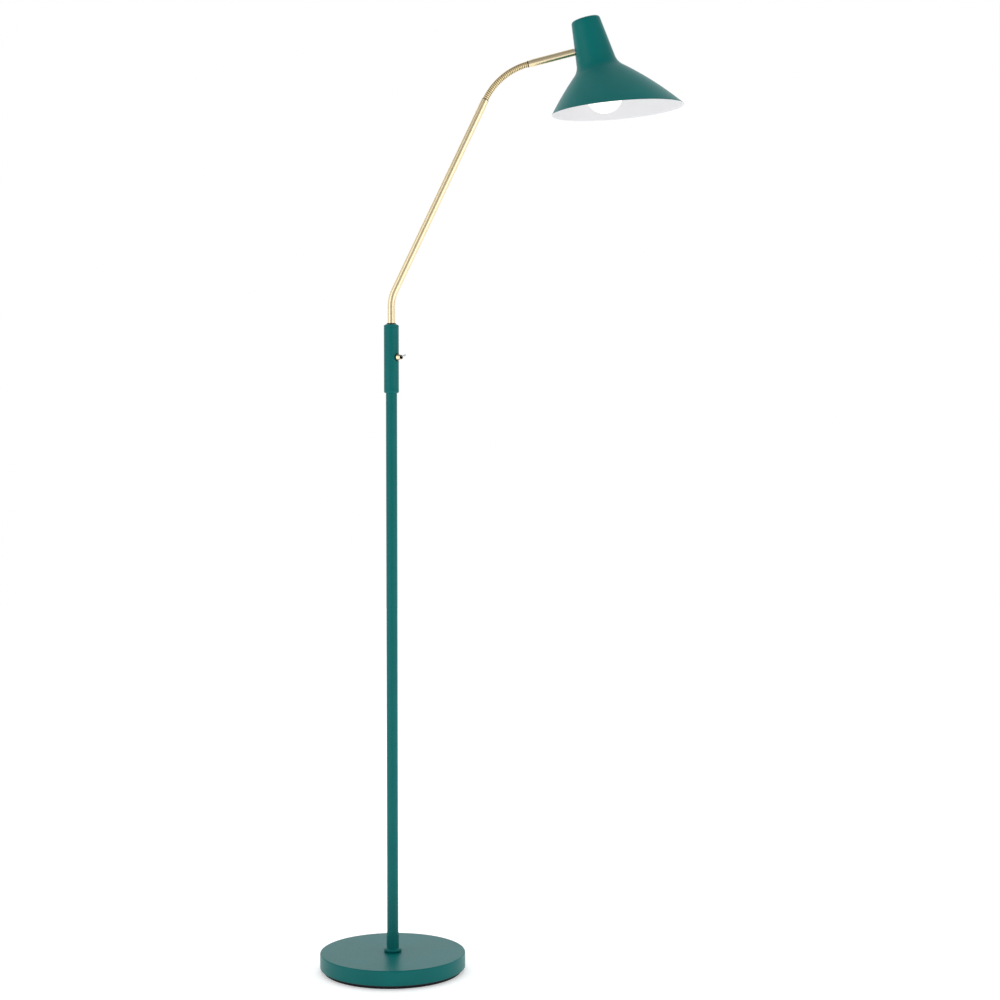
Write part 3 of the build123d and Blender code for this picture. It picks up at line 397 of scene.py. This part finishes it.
def shade_outline(inset, side_angle, rim_back):
    """(radius, drop) points from the crown's corner to the rim, that far inside the skin.

    rim_back is how far short of the slanted rim plane the outline stops.
    """
    neck_lean = atan2(WAIST_R - CROWN_R, WAIST_DROP)
    reach = WAIST_FILLET_R * tan((FLARE_LEAN - neck_lean) / 2)
    foot = (WAIST_R - reach * sin(neck_lean), WAIST_DROP - reach * cos(neck_lean))
    corner = (CROWN_R + CROWN_CORNER_R * (tan(neck_lean) - 1 / cos(neck_lean)), CROWN_CORNER_R)
    waist = (foot[0] + WAIST_FILLET_R * cos(neck_lean), foot[1] - WAIST_FILLET_R * sin(neck_lean))
    gap = WAIST_FILLET_R + FLARE_R
    flare = (waist[0] - gap * cos(FLARE_LEAN), waist[1] + gap * sin(FLARE_LEAN))

    def on_corner(share):
        angle = (pi / 2 - neck_lean) * share
        radius = CROWN_CORNER_R - inset
        return corner[0] + radius * sin(angle), corner[1] - radius * cos(angle)

    def on_waist(share):
        lean = neck_lean + (FLARE_LEAN - neck_lean) * share
        radius = WAIST_FILLET_R + inset
        return waist[0] - radius * cos(lean), waist[1] + radius * sin(lean)

    def on_flare(share):
        lean = FLARE_LEAN - FLARE_ARC * share
        radius = FLARE_R - inset
        return flare[0] + radius * cos(lean), flare[1] - radius * sin(lean)

    def past_rim(share):
        radius, drop = on_flare(share)
        return drop - RIM_DROP + rim_back - radius * cos(side_angle) * tan(RIM_SLANT)

    low, high = 0.0, 1.0
    for _ in range(HALVINGS):
        middle = (low + high) / 2
        low, high = (low, middle) if past_rim(middle) > 0 else (middle, high)
    neck_top, neck_foot = on_corner(1), on_waist(0)
    outline = [on_corner(row / CORNER_ROWS) for row in range(CORNER_ROWS)]
    for row in range(NECK_ROWS):
        share = row / NECK_ROWS
        outline.append(tuple(a + (b - a) * share for a, b in zip(neck_top, neck_foot)))
    outline += [on_waist(row / WAIST_ROWS) for row in range(WAIST_ROWS)]
    outline += [on_flare(low * row / FLARE_ROWS) for row in range(FLARE_ROWS + 1)]
    return outline


def shade_shell():
    """The spun shade: painted skin, rounded rim and white inside, cut off on the slant."""
    columns = []
    for side in range(SHADE_SIDES):
        angle = 2 * pi * side / SHADE_SIDES
        skin = shade_outline(0.0, angle, RIM_ROUND)
        inside = shade_outline(SHADE_WALL, angle, RIM_ROUND)
        edge = shade_outline(SHADE_WALL / 2, angle, 0.0)[-1]
        columns.append((angle, skin + [edge] + inside[::-1]))
    across = square(SHADE_FALL)
    rows = len(columns[0][1])
    points = []
    for row in range(rows):
        for angle, outline in columns:
            radius, drop = outline[row]
            sideways = across * cos(angle) + Vector((0, sin(angle), 0))
            points.append(crown + down_axis * drop + sideways * radius)
    faces = loop_faces(rows, SHADE_SIDES)
    skin_rows = CORNER_ROWS + NECK_ROWS + WAIST_ROWS + FLARE_ROWS
    kinds = [0 if face // SHADE_SIDES < skin_rows else 1 for face in range(len(faces))]
    for ring, drop, kind in ((0, 0.0, 0), (rows - 1, SHADE_WALL, 1)):
        middle = len(points)
        points.append(crown + down_axis * drop)
        for i in range(SHADE_SIDES):
            a, b = ring * SHADE_SIDES + i, ring * SHADE_SIDES + (i + 1) % SHADE_SIDES
            faces.append((middle, b, a) if kind == 0 else (middle, a, b))
            kinds.append(kind)
    return mesh_piece("shade_shell", points, faces, [FINISHES["shade_paint"], ENAMEL_WITH_PAINTED_SHADE], kinds)


shade = shade_shell()
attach(shade, "head")
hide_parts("shade")

lower_ring = end_ring("gooseneck_ring_lower", goose_start, ARM_RISE)
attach(lower_ring, "arm")
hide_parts("gooseneck_foot")

upper_place = goose_end - along(HEAD_RISE) * END_RING_LENGTH
upper_ring = end_ring("gooseneck_ring_upper", upper_place, HEAD_RISE)
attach(upper_ring, "head")
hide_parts("gooseneck_head")

for number in range(PARTS):
    wound = gooseneck_piece(number)
    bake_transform(wound)
    if number:
        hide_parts(f"gooseneck_link_{number:02d}")

# ---- studio --------------------------------------------------------------------------------------

# Floor: its glow is painted light, rising from POOL_GLOW near the lamp to FLOOR_GLOW far off.
FLOOR_HALF = 6.0
FLOOR_DROP = 0.0002
FLOOR_TONE = 0.86
POOL_IN = 0.25
POOL_OUT = 0.85
POOL_GLOW = 0.36
FLOOR_GLOW = 0.6

SOFTBOX_AZIMUTH = radians(56)
SOFTBOX_HEIGHT = 1.2
SOFTBOX_DISTANCE = 3.0
SOFTBOX_SIZE = (2.6, 3.2)
LEFT_POWER = 32
RIGHT_POWER = 29
ABOVE_HEIGHT = 3.4
ABOVE_BACK = 0.6
ABOVE_SIZE = (1.8, 1.8)
ABOVE_POWER = 26
LIGHTS_AIM = Vector((0.1, 0, 0.85))

BACK_GLOW = 1.25
FRONT_GLOW = 0.5
OVERHEAD_SHARE = 0.75
BACK_FADE = (-0.1, 0.6)
OVERHEAD_FADE = (0.35, 0.8)
WORLD_TONE = (0.97, 0.98, 1.0, 1)


def studio_floor():
    """Pale floor with painted light: its glow rises to white away from the lamp, which leaves painted shade round
    the lamp.
    """
    corners = [(x * FLOOR_HALF, y * FLOOR_HALF) for x, y in ((-1, -1), (1, -1), (1, 1), (-1, 1))]
    made, tree, shader = begin("studio_floor", specular=0.0)
    shader.inputs["Base Color"].default_value = (FLOOR_TONE, FLOOR_TONE, FLOOR_TONE, 1)
    shader.inputs["Roughness"].default_value = 1.0
    shader.inputs["Emission Color"].default_value = (1, 1, 1, 1)
    length = tree.nodes.new("ShaderNodeVectorMath")
    length.operation = "LENGTH"
    tree.links.new(placed(tree), length.inputs[0])
    distance = length.outputs["Value"]
    # Painted light: the floor's glow rises from the lamp's foot outwards, so the floor is darker near the lamp.
    glow = remap(tree, distance, POOL_GLOW, FLOOR_GLOW, POOL_IN, POOL_OUT, "SMOOTHSTEP")
    tree.links.new(glow, shader.inputs["Emission Strength"])
    points = [(x, y, -FLOOR_DROP) for x, y in corners]
    floor = mesh_piece("studio_floor", points, [(0, 1, 2, 3)], [made])


def softbox(name, azimuth, height, distance, size, power, mirrored=True):
    """Soft light at an azimuth round from the camera's side towards +X, aimed at the lamp.

    mirrored says whether it shows in reflections.
    """
    data = bpy.data.lights.new(name, "AREA")
    data.shape = "RECTANGLE"
    data.size, data.size_y = size
    data.energy = power
    light = bpy.data.objects.new(name, data)
    light.location = (distance * sin(azimuth), -distance * cos(azimuth), height)
    aim = LIGHTS_AIM - light.location
    light.rotation_euler = aim.to_track_quat("-Z", "Y").to_euler()
    light.visible_glossy = mirrored
    bpy.context.scene.collection.objects.link(light)


def studio_world():
    """White to the camera; what lights the lamp is brightest behind it and dimmer in front."""
    world = bpy.data.worlds.new("studio")
    world.use_nodes = True
    tree = world.node_tree
    shown = tree.nodes["Background"]
    shown.inputs["Color"].default_value = (1, 1, 1, 1)
    lit = tree.nodes.new("ShaderNodeBackground")
    lit.inputs["Color"].default_value = WORLD_TONE
    direction = tree.nodes.new("ShaderNodeTexCoord")
    parts = tree.nodes.new("ShaderNodeSeparateXYZ")
    tree.links.new(direction.outputs["Generated"], parts.inputs["Vector"])
    strength = tree.nodes.new("ShaderNodeMath")
    strength.operation = "MULTIPLY"
    back, up = parts.outputs["Y"], parts.outputs["Z"]
    around = remap(tree, back, FRONT_GLOW, BACK_GLOW, *BACK_FADE, "SMOOTHSTEP")
    overhead = remap(tree, up, 1.0, OVERHEAD_SHARE, *OVERHEAD_FADE, "SMOOTHSTEP")
    tree.links.new(around, strength.inputs[0])
    tree.links.new(overhead, strength.inputs[1])
    tree.links.new(strength.outputs["Value"], lit.inputs["Strength"])
    ray = tree.nodes.new("ShaderNodeLightPath")
    mix = tree.nodes.new("ShaderNodeMixShader")
    tree.links.new(ray.outputs["Is Camera Ray"], mix.inputs[0])
    tree.links.new(lit.outputs["Background"], mix.inputs[1])
    tree.links.new(shown.outputs["Background"], mix.inputs[2])
    tree.links.new(mix.outputs["Shader"], tree.nodes["World Output"].inputs["Surface"])
    bpy.context.scene.world = world


def studio_camera():
    """Camera in front of the lamp, without roll and tipped down a little."""
    data = bpy.data.cameras.new("camera")
    data.sensor_width = SENSOR * 1000
    data.lens = LENS * 1000
    camera = bpy.data.objects.new("camera", data)
    camera.location = CAMERA_PLACE
    camera.rotation_euler = (pi / 2 + CAMERA_PITCH, 0, 0)
    bpy.context.scene.collection.objects.link(camera)
    bpy.context.scene.camera = camera


studio_floor()
studio_world()
sides = (("left", -SOFTBOX_AZIMUTH, LEFT_POWER), ("right", SOFTBOX_AZIMUTH, RIGHT_POWER))
for side, azimuth, power in sides:
    softbox(f"softbox_{side}", azimuth, SOFTBOX_HEIGHT, SOFTBOX_DISTANCE, SOFTBOX_SIZE, power)
softbox("softbox_above", pi, ABOVE_HEIGHT, ABOVE_BACK, ABOVE_SIZE, ABOVE_POWER, mirrored=False)
studio_camera()
bpy.context.scene.view_settings.view_transform = "Standard"
